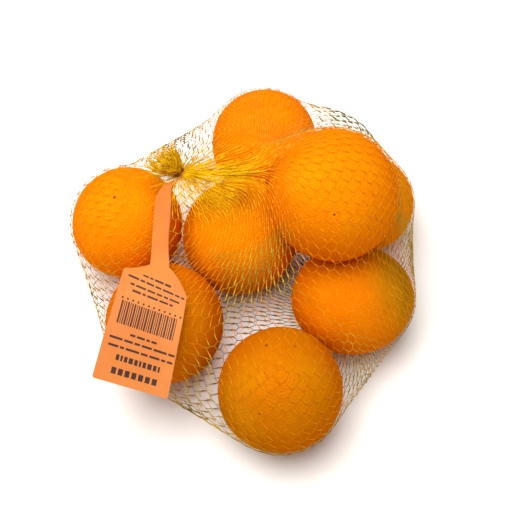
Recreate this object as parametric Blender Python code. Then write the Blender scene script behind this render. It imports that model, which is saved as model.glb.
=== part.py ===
"""Net of oranges: eight oranges in a knitted tubular net, tied at one end.

The net is one closed solid with the form that the taut net takes round the
fruit.  It narrows to a waist at the tie and opens again into the short fringe
beyond it.  A tag with a long strap hangs from a small collar round the waist.

Metres, +Z up.  The origin is the middle of the pack's plan, on the surface that
it lies on.  All but the top orange rest on that surface.
"""

import math

import bpy
import numpy as np
from mathutils import Vector

MM = 0.001

# Fruit: plan position of the centre, and half sizes along X, Y and Z.
# The lower layer stands on the table, so its height follows from its size.
NET_THICKNESS = 0.8 * MM
LOWER_LAYER = {
    "back": ((11.3, 74.9), (29.5, 29.5, 29.5)),
    "left": ((-62.7, 24.2), (30.3, 30.3, 30.3)),
    "middle": ((-1.8, 14.6), (30.9, 30.9, 32.9)),
    "right": ((65.6, 37.9), (27.5, 27.5, 27.0)),
    "front_right": ((57.8, -19.9), (32.7, 29.8, 28.6)),
    "front": ((19.2, -72.1), (32.3, 32.3, 32.3)),
    "front_left": ((-40.6, -34.9), (31.5, 31.5, 31.5)),
}
TOP_ORANGE = ((45.3, 14.9, 80.8), (33.8, 33.8, 33.8))

# A loose fold of the net that stands out beyond the fruit, behind the right-hand orange.
LOOSE_FOLD = ((57.0, 86.5, 24.0), (14.0, 14.0, 14.0))

# The tie, where the net is drawn together, and the middle of the pile that it is wrapped round.
# The net's threads run from the tie over the fruit to its other end, under the pile.
TIE = Vector((-33.4, 33.3, 72.4)) * MM
HEART = Vector((0.0, 5.0, 30.0)) * MM
NECK_AXIS = (TIE - HEART).normalized()
WAIST_RADIUS = 1.0 * MM
GATHER_RADIUS = 1.5 * MM
NECK_LENGTH = 4.0 * MM

# The wrapped form.  It starts as the tightest convex wrap and is then drawn in
# between the fruit, by the pull along its threads and the weaker pull across them,
# while its own weight lets it droop a little in each round.  So that every orange shows
# in the solid, it also sinks towards the heart, ever less from round to round.  Beside the
# tie and low on the pile's sides nothing sinks, and the wrap settles less.
SUPPORT_PLANES = 4000
COLUMNS = 72
WRAP_ROWS = 44
WRAP_CROWDING = 1.15
DRAWING_ROUNDS = 18
PULL_ALONG = 0.6
PULL_ACROSS = 0.4
TAUT_SETTLING = 0.12
LOOSE_SETTLING = 0.5
DROOP = 0.5 * MM
SINKING = 4.0 * MM
SINKS_FROM_TIE = (4.0 * MM, 56.0 * MM)
SINKS_ABOVE_TABLE = (32.0 * MM, 60.0 * MM)
NOTCH_ROUNDS = 2
FLAT_ENOUGH = 0.15 * MM

# Pleats that run out from the tie: they rise at first, and fade out before the end of their reach.
PLEATS = 12
PLEAT_DEPTH = 0.9 * MM
PLEAT_RISE = 11.3 * MM
PLEAT_REACH = 54.4 * MM
PLEAT_FADE = 34.0 * MM

# The fringe beyond the tie.  It flares out from the waist, leans up, and closes in at its rim.
FRINGE_LENGTH = 15.0 * MM
FRINGE_RADIUS = 6.6 * MM
FRINGE_LEAN = Vector((0.0, 2.0, 4.0)) * MM
FRINGE_ROWS = 7
FRINGE_TEETH = 9
FRINGE_TOOTH = 0.24
FULLY_OPEN_AT = 0.8
FLARE_POWER = 1.4
CLOSING_FROM = 0.72
RIM_CLOSED_BY = 0.55
CROWN_AT = 0.94

# The collar that grips the waist, and the length of waist on each side of its middle.
COLLAR_RADIUS = 2.8 * MM
COLLAR_BAR = 0.5 * MM
HALF_WAIST = 0.8 * MM

# The tag: one ribbon from its free end, over the fruit, through the collar, to its tail.
# Each station is the middle of the ribbon, the direction across it, and its width.
TAG_THICKNESS = 0.4 * MM
TAG_ACROSS = 4
TAG_STEP = 2.2 * MM
TAG_STATIONS = (
    ((-55.3, -78.4, 54.8), (0.95, -0.31, 0.09), 40.3),
    ((-51.0, -60.6, 60.9), (0.94, -0.34, 0.06), 38.6),
    ((-47.6, -46.9, 64.7), (0.93, -0.37, 0.07), 37.3),
    ((-46.0, -39.0, 65.4), (0.92, -0.39, 0.09), 37.1),
    ((-43.6, -26.7, 66.2), (0.86, -0.48, 0.14), 37.5),
    ((-41.7, -17.8, 66.7), (0.91, -0.27, 0.31), 10.8),
    ((-41.6, -9.5, 67.7), (0.92, -0.17, 0.36), 9.5),
    ((-41.5, -2.3, 68.9), (0.91, -0.18, 0.37), 9.3),
    ((-40.9, 7.0, 70.7), (0.91, -0.18, 0.36), 9.4),
    ((-40.4, 16.9, 71.6), (0.92, -0.18, 0.36), 9.0),
    ((-38.4, 24.4, 72.0), (0.91, -0.19, 0.36), 5.5),
)

# The strap inside the collar: distances along the neck from the tie, out from the neck's
# axis and to the side, then the width.
STRAP_AT_NECK = (
    ((-2.4, 3.2, 0.0), 3.0),
    ((-0.9, 1.6, 0.0), 1.6),
    ((0.9, 1.6, 0.0), 1.6),
)
TAIL_ROOT = (1.9, 2.8, -1.8)
TAIL_DIRECTION = Vector((-0.85, -0.25, 0.45)).normalized()
TAIL_ACROSS = Vector((0.40, 0.78, 0.48)).normalized()
TAIL_LENGTH = 9.0 * MM
TAIL_WIDTH = 3.6 * MM
TAIL_TIP_WIDTH = 0.8 * MM

# Finishes: colour, roughness.
GOLDEN_NET = ((0.80, 0.46, 0.05), 0.45)
SALMON_FILM = ((0.93, 0.38, 0.13), 0.50)
DARK_COLLAR = ((0.16, 0.03, 0.01), 0.45)


def clear_scene():
    for obj in list(bpy.data.objects):
        bpy.data.objects.remove(obj, do_unlink=True)


def make_material(name, finish):
    """A plain finish, from a colour and a roughness."""
    colour, roughness = finish
    material = bpy.data.materials.new(name)
    material.use_nodes = True
    shader = material.node_tree.nodes["Principled BSDF"]
    shader.inputs["Base Color"].default_value = (*colour, 1.0)
    shader.inputs["Roughness"].default_value = roughness
    shader.inputs["Metallic"].default_value = 0.0
    return material


def make_object(name, vertices, faces, material):
    mesh = bpy.data.meshes.new(name)
    mesh.from_pydata([tuple(v) for v in vertices], [], faces)
    mesh.materials.append(material)
    mesh.shade_smooth()
    mesh.set_sharp_from_angle(angle=math.radians(50))
    mesh.update()
    obj = bpy.data.objects.new(name, mesh)
    bpy.context.scene.collection.objects.link(obj)
    return obj


def fruit_with_net():
    """Centres and half sizes of all eight oranges, with the net's thickness round each."""
    centres = []
    halves = []
    for (x, y), half in LOWER_LAYER.values():
        centres.append((x, y, half[2] + NET_THICKNESS / MM))
        halves.append(half)
    centres.append(TOP_ORANGE[0])
    halves.append(TOP_ORANGE[1])
    return np.array(centres) * MM, np.array(halves) * MM + NET_THICKNESS


def smooth_step(value):
    value = np.clip(value, 0.0, 1.0)
    return value * value * (3.0 - 2.0 * value)


def across_axis(axis):
    """Two unit directions square to the axis, the first as level as it can be."""
    level = axis.cross(Vector((0.0, 0.0, 1.0))).normalized()
    return level, axis.cross(level).normalized()


def ring_directions(tilt, axis):
    """Unit directions that lean by the tilt from the axis, one for each column."""
    level, upright = across_axis(axis)
    directions = []
    for column in range(COLUMNS):
        turn = 2.0 * math.pi * column / COLUMNS
        outward = level * math.cos(turn) + upright * math.sin(turn)
        directions.append(axis * math.cos(tilt) + outward * math.sin(tilt))
    return directions


def spread_directions(count):
    """Unit directions spread evenly over the sphere on a golden spiral, and straight down."""
    index = np.arange(count) + 0.5
    height = 1.0 - 2.0 * index / count
    radius = np.sqrt(1.0 - height**2)
    turn = math.pi * (1.0 + math.sqrt(5.0)) * index
    spiral = np.stack([radius * np.cos(turn), radius * np.sin(turn), height], axis=1)
    return np.vstack([spiral, [0.0, 0.0, -1.0]])


def taut_reach(directions, heart, centres, halves):
    """How far the tightest wrap reaches from the heart in each direction.

    A plane that touches the fruit from outside bounds the wrap, whichever way
    it faces.  The nearest such plane along a direction is where the wrap is.
    """
    normals = spread_directions(SUPPORT_PLANES)
    offsets = (centres - heart) @ normals.T
    offsets += np.sqrt(halves**2 @ (normals**2).T)
    plane_height = offsets.max(axis=0)
    reach = np.empty(len(directions))
    for row, direction in enumerate(directions):
        facing = normals @ direction
        ahead = facing > 1e-3
        reach[row] = (plane_height[ahead] / facing[ahead]).min()
    return reach


def pile_reach(directions, heart, centres, halves):
    """How far the fruit themselves reach from the heart, which is inside one of them."""
    reach = np.zeros(directions.shape[:-1])
    for centre, half in zip(centres, halves):
        start = (heart - centre) / half
        step = directions / half
        square = (step**2).sum(axis=-1)
        middle = -(step @ start) / square
        spread = middle**2 - (start @ start - 1.0) / square
        outer = middle + np.sqrt(np.maximum(spread, 0.0))
        reach = np.maximum(reach, np.where(spread > 0.0, outer, 0.0))
    return reach


def looseness(points):
    """1 where the wrap sinks freely, falling to 0 beside the tie and on the pile's sides."""
    away = np.linalg.norm(points - np.array(TIE), axis=2) - SINKS_FROM_TIE[0]
    height = points[:, :, 2] - SINKS_ABOVE_TABLE[0]
    from_tie = smooth_step(away / (SINKS_FROM_TIE[1] - SINKS_FROM_TIE[0]))
    return from_tie * smooth_step(height / (SINKS_ABOVE_TABLE[1] - SINKS_ABOVE_TABLE[0]))


def drawn_rows():
    """Rings of points from below the tie to the wrap's other end, drawn in between the fruit.

    Each point keeps to its own line from the heart.  It settles among its neighbours,
    droops and sinks, but stays outside the fruit and above the table.  Notches that are
    one column wide, at the rims of the fruit, are filled at the end.
    """
    centres, halves = fruit_with_net()
    fold_centre, fold_half = np.array(LOOSE_FOLD) * MM
    heart = np.array(HEART)
    tilts = math.pi * (np.arange(1, WRAP_ROWS + 1) / (WRAP_ROWS + 1.0)) ** WRAP_CROWDING
    directions = np.array([ring_directions(tilt, NECK_AXIS) for tilt in tilts])
    wrapped = np.vstack([centres, fold_centre]), np.vstack([halves, fold_half])
    reach = np.array([taut_reach(ring, heart, *wrapped) for ring in directions])
    fruit = pile_reach(directions, heart, centres, halves)
    downward = np.maximum(-directions[:, :, 2], 0.0)
    table = np.where(downward > 0.0, heart[2] / np.maximum(downward, 1e-6), np.inf)
    gather = np.array(neck_ring(-NECK_LENGTH, GATHER_RADIUS))
    for fading in np.linspace(1.0, 0.0, DRAWING_ROUNDS):
        rows = heart + directions * reach[:, :, None]
        foot = np.broadcast_to(rows[-1].mean(axis=0), gather.shape)
        above = np.concatenate([gather[None], rows[:-1]])
        below = np.concatenate([rows[1:], foot[None]])
        along = (above + below) / 2.0
        across = (np.roll(rows, 1, axis=1) + np.roll(rows, -1, axis=1)) / 2.0
        settled = PULL_ALONG * along + PULL_ACROSS * across
        settled = ((settled - heart) * directions).sum(axis=2)
        loose = looseness(rows)
        reach = reach + (settled - reach) * (TAUT_SETTLING + (LOOSE_SETTLING - TAUT_SETTLING) * loose)
        reach = reach - DROOP * directions[:, :, 2] - SINKING * fading * loose
        reach = np.minimum(np.maximum(reach, fruit), table)
    for _ in range(NOTCH_ROUNDS):
        reach = np.maximum(reach, (np.roll(reach, 1, axis=1) + np.roll(reach, -1, axis=1)) / 2.0)
    rows = heart + directions * reach[:, :, None]
    rows[:, :, 2] = np.where(rows[:, :, 2] < FLAT_ENOUGH, 0.0, rows[:, :, 2])
    return rows, rows[-1].mean(axis=0)


def neck_ring(distance, radius, flute=0.0, lean=0.0):
    """One ring of the neck or fringe, fluted by the net's gathers."""
    level, upright = across_axis(NECK_AXIS)
    middle = TIE + NECK_AXIS * distance + FRINGE_LEAN * lean
    ring = []
    for column in range(COLUMNS):
        turn = 2.0 * math.pi * column / COLUMNS
        wave = 1.0 + flute * math.cos(FRINGE_TEETH * turn)
        ring.append(middle + (level * math.cos(turn) + upright * math.sin(turn)) * radius * wave)
    return ring


def fringe_rows():
    """Rings of the fringe, from its crown down to the waist inside the collar."""
    rows = []
    for row in range(FRINGE_ROWS, 0, -1):
        share = row / FRINGE_ROWS
        flare = math.sin(0.5 * math.pi * min(1.0, share / FULLY_OPEN_AT)) ** FLARE_POWER
        closed = RIM_CLOSED_BY * max(0.0, share - CLOSING_FROM) / (1.0 - CLOSING_FROM)
        radius = WAIST_RADIUS + (FRINGE_RADIUS - WAIST_RADIUS) * flare * (1.0 - closed)
        distance = HALF_WAIST + FRINGE_LENGTH * share
        rows.append(neck_ring(distance, radius, FRINGE_TOOTH * flare, share**2))
    for distance in (HALF_WAIST, -HALF_WAIST):
        rows.append(neck_ring(distance, WAIST_RADIUS))
    rows.append(neck_ring(-NECK_LENGTH, GATHER_RADIUS))
    return rows


def pleated(rows):
    """Raises shallow pleats on the wrap, which fade out away from the tie."""
    raised = []
    for row in rows:
        points = []
        for column, point in enumerate(row):
            turn = 2.0 * math.pi * column / COLUMNS
            away = (Vector(point) - TIE).length
            fading = smooth_step((PLEAT_REACH - away) / PLEAT_FADE)
            height = PLEAT_DEPTH * smooth_step(away / PLEAT_RISE) * fading
            wave = 0.5 + 0.5 * math.cos(PLEATS * turn)
            points.append(Vector(point) + NECK_AXIS * height * wave)
        raised.append(points)
    return raised


def build_net():
    """One closed grid: the crown, the fringe, the waist, the wrap, and the foot under the pile."""
    wrap, foot = drawn_rows()
    rows = fringe_rows() + pleated(wrap)
    crown = TIE + NECK_AXIS * FRINGE_LENGTH * CROWN_AT + FRINGE_LEAN
    vertices = [crown]
    for row in rows:
        vertices.extend(row)
    vertices.append(foot)
    faces = []
    for column in range(COLUMNS):
        beside = (column + 1) % COLUMNS
        faces.append((0, 1 + column, 1 + beside))
        for row in range(len(rows) - 1):
            above = 1 + row * COLUMNS
            below = above + COLUMNS
            faces.append((above + column, below + column, below + beside, above + beside))
        last = 1 + (len(rows) - 1) * COLUMNS
        faces.append((last + beside, last + column, len(vertices) - 1))
    return make_object("net", vertices, faces, make_material("golden_net", GOLDEN_NET))


def build_collar():
    bpy.ops.mesh.primitive_torus_add(
        major_radius=COLLAR_RADIUS,
        minor_radius=COLLAR_BAR,
        major_segments=28,
        minor_segments=8,
    )
    collar = bpy.context.object
    collar.name = "neck_collar"
    collar.location = TIE
    collar.rotation_euler = NECK_AXIS.to_track_quat("Z", "Y").to_euler()
    collar.data.materials.append(make_material("dark_collar", DARK_COLLAR))
    collar.data.shade_smooth()
    return collar


def beside_tie(place, sideways, behind):
    """The point at the given distances along, out from and to the side of the neck."""
    along, out, side = place
    return TIE + (NECK_AXIS * along - behind * out + sideways * side) * MM


def tag_route():
    """All of the tag's stations: those over the fruit, then through the collar to the tail."""
    stations = []
    for middle, across, width in TAG_STATIONS:
        stations.append((Vector(middle) * MM, Vector(across).normalized(), width * MM))
    sideways, behind = across_axis(NECK_AXIS)
    for place, width in STRAP_AT_NECK:
        stations.append((beside_tie(place, sideways, behind), sideways, width * MM))
    root = beside_tie(TAIL_ROOT, sideways, behind)
    stations.append((root, TAIL_ACROSS, TAIL_WIDTH))
    stations.append((root + TAIL_DIRECTION * TAIL_LENGTH, TAIL_ACROSS, TAIL_TIP_WIDTH))
    return stations


def curve_between(before, start, end, after, share):
    """A smooth curve through start and end, which heads for its neighbours at both."""
    return (
        start
        + (end - before) * (0.5 * share)
        + (before * 2.0 - start * 5.0 + end * 4.0 - after) * (0.5 * share**2)
        + (start * 3.0 - before - end * 3.0 + after) * (0.5 * share**3)
    )


def ribbon_sections(stations):
    """Smooth cross-sections along the stations: middle, direction across, and width."""
    sections = []
    last = len(stations) - 1
    for index in range(last):
        near = [stations[max(0, min(last, index + step))] for step in (-1, 0, 1, 2)]
        length = (near[2][0] - near[1][0]).length
        steps = max(1, round(length / TAG_STEP))
        for step in range(steps):
            share = step / steps
            middle = curve_between(*(station[0] for station in near), share)
            across = near[1][1].lerp(near[2][1], share).normalized()
            width = near[1][2] + (near[2][2] - near[1][2]) * share
            sections.append((middle, across, width))
    sections.append(stations[last])
    return sections


def build_tag():
    sections = ribbon_sections(tag_route())
    vertices = []
    for index, (middle, across, width) in enumerate(sections):
        ahead = sections[min(index + 1, len(sections) - 1)][0]
        behind = sections[max(index - 1, 0)][0]
        face = across.cross(ahead - behind).normalized()
        for side in (1.0, -1.0):
            for step in range(TAG_ACROSS + 1):
                place = side * (0.5 - step / TAG_ACROSS)
                vertices.append(middle + across * width * place + face * side * 0.5 * TAG_THICKNESS)
    ring = 2 * (TAG_ACROSS + 1)
    faces = [tuple(range(ring))]
    for section in range(len(sections) - 1):
        first = section * ring
        for corner in range(ring):
            beside = (corner + 1) % ring
            faces.append((first + beside, first + corner, first + ring + corner, first + ring + beside))
    end = (len(sections) - 1) * ring
    faces.append(tuple(end + corner for corner in reversed(range(ring))))
    return make_object("tag", vertices, faces, make_material("salmon_film", SALMON_FILM))


def main():
    clear_scene()
    build_net()
    build_collar()
    build_tag()


main()
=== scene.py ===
"""Looks for the net of oranges: the eight oranges, the knitted net round them, its tie and its tag.

Metres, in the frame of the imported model, +Z up.  The net's solid is replaced by the oranges
and by real strands: links that run away from the tie, joined sideways by thin threads.
"""

import math

import bpy
import numpy as np
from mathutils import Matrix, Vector
from mathutils.bvhtree import BVHTree


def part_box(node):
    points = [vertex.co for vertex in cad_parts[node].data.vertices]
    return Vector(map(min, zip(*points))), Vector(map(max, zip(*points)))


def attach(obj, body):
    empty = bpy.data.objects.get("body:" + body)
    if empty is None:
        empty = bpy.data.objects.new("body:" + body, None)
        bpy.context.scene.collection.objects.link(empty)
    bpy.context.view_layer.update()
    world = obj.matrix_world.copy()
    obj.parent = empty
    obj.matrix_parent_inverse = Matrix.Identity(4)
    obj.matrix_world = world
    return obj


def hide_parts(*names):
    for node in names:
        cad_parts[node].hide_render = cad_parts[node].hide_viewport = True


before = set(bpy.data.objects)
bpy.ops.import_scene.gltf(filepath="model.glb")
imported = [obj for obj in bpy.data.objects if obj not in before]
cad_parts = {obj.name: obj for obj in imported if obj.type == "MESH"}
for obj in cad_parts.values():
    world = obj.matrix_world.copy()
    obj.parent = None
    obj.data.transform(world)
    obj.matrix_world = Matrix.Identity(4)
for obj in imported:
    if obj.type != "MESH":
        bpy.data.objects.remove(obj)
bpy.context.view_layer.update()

MM = 0.001
UP = np.array([0.0, 0.0, 1.0])

# ---------------------------------------------------------------- the fruit

# Each orange: its centre and half sizes in millimetres, and where its stem end points.
# The lower ones are 0.8 clear of the table, where the net passes under them.
FRUIT = {
    "orange_back": ((11.3, 74.9, 30.3), (29.5, 29.5, 29.5), (0.2, 0.9, -0.3)),
    "orange_left": ((-62.7, 24.2, 31.1), (30.3, 30.3, 30.3), (-0.6, 0.2, -0.8)),
    "orange_middle": ((-1.8, 14.6, 33.7), (30.9, 30.9, 32.9), (0.3, 0.2, -0.9)),
    "orange_right": ((65.6, 37.9, 27.8), (27.5, 27.5, 27.0), (0.7, 0.4, -0.6)),
    "orange_front_right": ((57.8, -19.9, 29.4), (32.7, 29.8, 28.6), (0.8, 0.3, -0.5)),
    "orange_front": ((19.2, -72.1, 33.1), (32.3, 32.3, 32.3), (-0.4, -0.5, -0.8)),
    "orange_front_left": ((-40.6, -34.9, 32.3), (31.5, 31.5, 31.5), (-0.5, -0.7, -0.5)),
    "orange_top": ((45.3, 14.9, 80.8), (33.8, 33.8, 33.8), (0.6, 0.7, -0.4)),
}

# Their peel: the red and green of its orange, its darker, greener side and how much so, which is
# partly painted shade, and its small brown marks, each a direction and a size in millimetres.
PEEL = {
    "orange_back": ((0.88, 0.200), (0.3, 0.8, -0.4), 0.1, ()),
    "orange_left": ((0.88, 0.212), (-0.3, 0.3, -0.9), 0.2, (((-0.14, 0.0, 0.99), 1.1),)),
    "orange_middle": ((0.92, 0.240), (-0.4, -0.8, -0.3), 0.25, ()),
    "orange_right": ((0.90, 0.260), (0.8, 0.2, 0.5), 0.3, ()),
    # The front oranges, the front one most, are painted darker than the rest: painted shade where
    # less light reaches them, on top of their own colours.
    "orange_front_right": (
        (0.82, 0.182), (0.95, 0.18, 0.25), 0.9, (((-0.10, -0.06, 0.99), 0.5),)
    ),
    "orange_front": (
        (0.58, 0.140), (-0.8, -0.5, -0.2), 0.4, (
            ((-0.23, 0.43, 0.87), 0.9),
            ((0.21, 0.40, 0.89), 0.6),
            ((0.55, 0.55, 0.63), 0.7),
            ((0.79, 0.17, 0.59), 0.6),
            ((-0.34, -0.62, 0.71), 0.7),
            ((-0.25, -0.05, 0.97), 0.5),
        )
    ),
    "orange_front_left": ((0.68, 0.142), (0.9, -0.3, 0.2), 0.25, ()),
    "orange_top": ((0.83, 0.198), (0.7, 0.2, -0.6), 0.3, (((-0.03, -0.69, 0.72), 0.8),)),
}

# The red of a peel that leaves the strands over it as bright as they are; over darker peel the
# painted light they take from it is darker.
BRIGHT_PEEL = 0.88

# ---------------------------------------------------------------- the net

# The net's columns run from the tie, over the pile, to a foot that the front right orange hides.
# They are laid out round the line from the tie to that foot, and the heart is a point on it.
TIE = np.array(sum(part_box("neck_collar"), Vector()) / 2.0)
FOOT = np.array([57.8, -19.9, 0.0]) * MM
HEART = (TIE + FOOT) / 2.0
POLE = (TIE - HEART) / np.linalg.norm(TIE - HEART)
LEVEL = np.cross(POLE, UP) / np.linalg.norm(np.cross(POLE, UP))
UPRIGHT = np.cross(POLE, LEVEL)

# The neck itself points out of the pile.
NECK_AXIS = np.array([-0.548, 0.464, 0.696])
NECK_LEVEL = np.array([0.646, 0.763, 0.0])
NECK_UPRIGHT = np.cross(NECK_AXIS, NECK_LEVEL)
GATHER_DEPTH = 2.0 * MM
GATHER_RADIUS = 1.5 * MM

# Links stand on every second column of a row, the other columns' turn comes in the next row,
# and threads join them sideways.  The rows sway up and down by a share of a half row.
HALF_COLUMNS = 200
HALF_ROWS = 36
LINK = 5.75 * MM
THREAD = 2.7 * MM
ROW_SWAY = 0.10
ROW_SWAY_TURNS = 40
ROW_SWAY_LENGTH = 5.0

# The tilts from the pole at which the solid's reach is measured.
TILTS = 150
FIRST_TILT = math.radians(5.0)
LAST_TILT = math.radians(177.0)

# The net is drawn taut in steps, over wide hollows first, and more along its columns than across.
TAUT_SPANS = (12, 6, 3, 1)
TAUT_ROUNDS = 30
PULL_ALONG = 0.6
UNDER_TAG = 0.6 * MM

# How far strands stay off the fruit, and off the table as a multiple of that.
NET_CLEARANCE = 0.35 * MM
GATHERS_CLEARANCE = 0.45 * MM
TABLE_CLEARANCE = 1.5

# The columns sway a little, by an angle, over so many waves round and such a length along.
SWAY = 0.016
SWAY_TURNS = 12
SWAY_LENGTH = 60.0 * MM

# The sheaf: a broad share of the columns is drawn together from the tie to the top orange.
SHEAF_ANGLE = math.radians(287.0)
SHEAF_POWER = 3.2
SHEAF_TIGHTNESS = 0.09
SHEAF_HOLDS_TO = 40.0 * MM
SHEAF_GONE_BY = 92.0 * MM

# Strands draw together into so many bundles near the tie.
BUNDLES = (17, 29)
BUNDLE_PULL = 0.42
BUNDLES_GONE_BY = 46.0 * MM

# Where columns crowd, they lie over and under one another.
LAYERS_BELOW = 1.6 * MM
LAYERS_FULL_BY = 9.0 * MM
LAYER_HEIGHT = 0.9 * MM
LAYER_LOWERED = 0.4
LAYER_TURNS = 60
LAYER_LENGTH = 50.0 * MM
LAYER_WAVES = 10

# Near the tie, each column is one unbroken strand, until the net opens.  It is shorter on the
# tie's far side.
GATHERS_END_AT = 1.7 * MM
GATHERS_REACH = 9.0 * MM
GATHERS_NO_FURTHER = 50.0 * MM
GATHERS_SHORT = 0.6
GATHERS_SHORT_FROM = 0.1
GATHERS_SHORT_BY = 0.4
GATHERS_LEAST = 4
GATHER_POINTS = 36
GATHER_THICK = 0.25 * MM
GATHER_TAPER = 0.7
GATHER_KINK = 0.30 * MM

# Crowded strands are deeper in colour, near the tie alone.
CROWDED_BELOW = 0.7 * MM
LOOSE_ABOVE = 2.0 * MM
CROWDED_TO = 40.0 * MM
PALE_BY = 66.0 * MM

# Strands are near a fruit, for the painted light from its peel, once they are well inside its
# outline from above.
# Beside it or under it they keep some distance, however close they are, and it fades from there.
OVER_EDGE = 2.0 * MM
BESIDE_LEAST = 3.5 * MM
NEAR_FROM = 0.5 * MM
NEAR_OVER = 17.0 * MM
NEAREST_WINS = 0.01

# The strands' forms.  Those over air are thicker, by this share at most.
OPEN_THICKER = 0.75
LINK_POINTS = 7
LINK_SIDES = 5
LINK_THIN = 0.10 * MM
LINK_THICK = 0.25 * MM
SPINDLE_FROM = 0.45
THREAD_POINTS = 4
THREAD_SIDES = 4
THREAD_RADIUS = 0.078 * MM
THREAD_SLACK = 0.28 * MM


def smooth_step(value):
    """Rises smoothly from 0 to 1 while the value does, and is level outside that."""
    value = np.clip(value, 0.0, 1.0)
    return value * value * (3.0 - 2.0 * value)


def smooth_between(value, low, high):
    return smooth_step((value - low) / (high - low))


def unit(vectors):
    return vectors / np.linalg.norm(vectors, axis=-1, keepdims=True)


def spacing(lines):
    """The distance from each column to the next, as the mean of both sides."""
    across = np.roll(lines, -1, axis=0) - np.roll(lines, 1, axis=0)
    return np.linalg.norm(across, axis=2) / 2.0


def wave_noise(seed, across, along, turns, length, count=6):
    """Smooth noise of about -1 to 1 over a column's angle and a distance, closed round the tie."""
    rng = np.random.default_rng(seed)
    total = np.zeros(np.broadcast(across, along).shape)
    for _ in range(count):
        turn = rng.integers(1, turns + 1)
        wave = rng.uniform(-1.0, 1.0) * 2.0 * math.pi / length
        phase = rng.uniform(0.0, 2.0 * math.pi)
        total += np.sin(turn * across + wave * along + phase)
    return total / math.sqrt(count)


def kept_outside(points, clearance):
    """Moves points that are inside a fruit, or below the table, out to the clearance."""
    for centre, half, _ in FRUIT.values():
        middle = np.array(centre) * MM
        reach = np.array(half) * MM + clearance
        scaled = (points - middle) / reach
        depth = np.linalg.norm(scaled, axis=-1, keepdims=True)
        moved = middle + (points - middle) / np.maximum(depth, 1e-6)
        points = np.where(depth < 1.0, moved, points)
    points[..., 2] = np.maximum(points[..., 2], TABLE_CLEARANCE * clearance)
    return points


def solid_tree(node):
    """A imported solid, ready for rays to be cast at it."""
    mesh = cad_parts[node].data
    corners = [vertex.co for vertex in mesh.vertices]
    return BVHTree.FromPolygons(corners, [polygon.vertices for polygon in mesh.polygons])


def drawn_taut(directions, reach, ceiling):
    """The net's reach from the heart once it spans the solid's hollows instead of sinking in."""
    for span in TAUT_SPANS:
        for _ in range(TAUT_ROUNDS):
            points = HEART + directions * reach[..., None]
            across = (np.roll(points, span, axis=0) + np.roll(points, -span, axis=0)) / 2.0
            along = points.copy()
            along[:, span:-span] = (points[:, 2 * span:] + points[:, :-2 * span]) / 2.0
            settled = PULL_ALONG * along + (1.0 - PULL_ALONG) * across
            reach = np.maximum(reach, ((settled - HEART) * directions).sum(axis=-1))
            reach = np.minimum(reach, ceiling)
    return reach


def wrap_points():
    """Points of the taut net over a grid of angles round the tie and tilts from it."""
    solid, tag = solid_tree("net"), solid_tree("tag")
    angles = 2.0 * math.pi * np.arange(HALF_COLUMNS) / HALF_COLUMNS
    tilts = np.linspace(FIRST_TILT, LAST_TILT, TILTS)[:, None]
    outward = LEVEL * np.cos(angles)[:, None] + UPRIGHT * np.sin(angles)[:, None]
    directions = POLE * np.cos(tilts) + outward[:, None] * np.sin(tilts)
    reach = np.empty(directions.shape[:2])
    ceiling = np.full(reach.shape, np.inf)
    for place in np.ndindex(reach.shape):
        ray = Vector(HEART), Vector(directions[place])
        reach[place] = solid.ray_cast(*ray)[3]
        above = tag.ray_cast(*ray)[3]
        if above is not None:
            ceiling[place] = max(above - UNDER_TAG, reach[place])
    return angles, HEART + directions * drawn_taut(directions, reach, ceiling)[..., None]


def sheaf_offset(offset, hold):
    """Angle from the sheaf's middle after it is drawn together; hold is 1 where it is tight."""
    wide = math.pi * np.sign(offset) * (np.abs(offset) / math.pi) ** SHEAF_POWER
    drawn = SHEAF_TIGHTNESS * offset + (1.0 - SHEAF_TIGHTNESS) * wide
    return offset + hold * (drawn - offset)


def column_lines():
    """The lines that the net's columns of links follow over the pile, from the tie to the foot."""
    angles, wrap = wrap_points()
    away = np.linalg.norm(wrap - TIE, axis=2)
    grid = np.broadcast_to(angles[:, None], away.shape)
    grid = grid + SWAY * wave_noise(3, grid, away, SWAY_TURNS, SWAY_LENGTH)
    hold = 1.0 - smooth_between(away, SHEAF_HOLDS_TO, SHEAF_GONE_BY)
    offset = (grid - SHEAF_ANGLE + math.pi) % (2.0 * math.pi) - math.pi
    warped = SHEAF_ANGLE + sheaf_offset(offset, hold)
    fade = 1.0 - smooth_step(away / BUNDLES_GONE_BY)
    for number in BUNDLES:
        warped = warped + fade * BUNDLE_PULL / number * np.sin(number * warped + number)
    place = warped / (2.0 * math.pi) * HALF_COLUMNS
    low = np.floor(place).astype(int)
    share = (place - low)[..., None]
    rows = np.arange(TILTS)[None, :]
    lines = wrap[low % HALF_COLUMNS, rows] * (1.0 - share)
    lines += wrap[(low + 1) % HALF_COLUMNS, rows] * share
    outward = NECK_LEVEL * np.cos(angles)[:, None] + NECK_UPRIGHT * np.sin(angles)[:, None]
    gather = TIE - NECK_AXIS * GATHER_DEPTH + outward * GATHER_RADIUS
    return np.concatenate([gather[:, None], lines], axis=1)


def layered(lines):
    """Lifts and lowers neighbouring columns where they crowd, so that the gathers have depth."""
    away = np.linalg.norm(lines - TIE, axis=2)
    crowd = smooth_step(1.0 - spacing(lines) / LAYERS_BELOW) * smooth_step(away / LAYERS_FULL_BY)
    column = 2.0 * math.pi * np.arange(len(lines)) / len(lines)
    height = wave_noise(11, column[:, None], away, LAYER_TURNS, LAYER_LENGTH, LAYER_WAVES)
    lift = crowd * (height - LAYER_LOWERED) * LAYER_HEIGHT
    return lines + unit(lines - HEART) * lift[..., None]


def net_rows(lines):
    """How far along its line each point is, in half rows, and the links' share of a half row.

    Where the net is stretched wide, its threads lie across, so its rows are short.
    """
    steps = np.linalg.norm(np.diff(lines, axis=1), axis=2)
    spare = np.sqrt(np.maximum(THREAD**2 - spacing(lines)**2, 0.0))
    along = np.cumsum(steps / (LINK + spare)[:, 1:], axis=1)
    along = np.concatenate([np.zeros((len(lines), 1)), along], axis=1)
    scale = along[:, -1:] / HALF_ROWS
    return along / scale, LINK / (LINK + spare)


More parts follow.
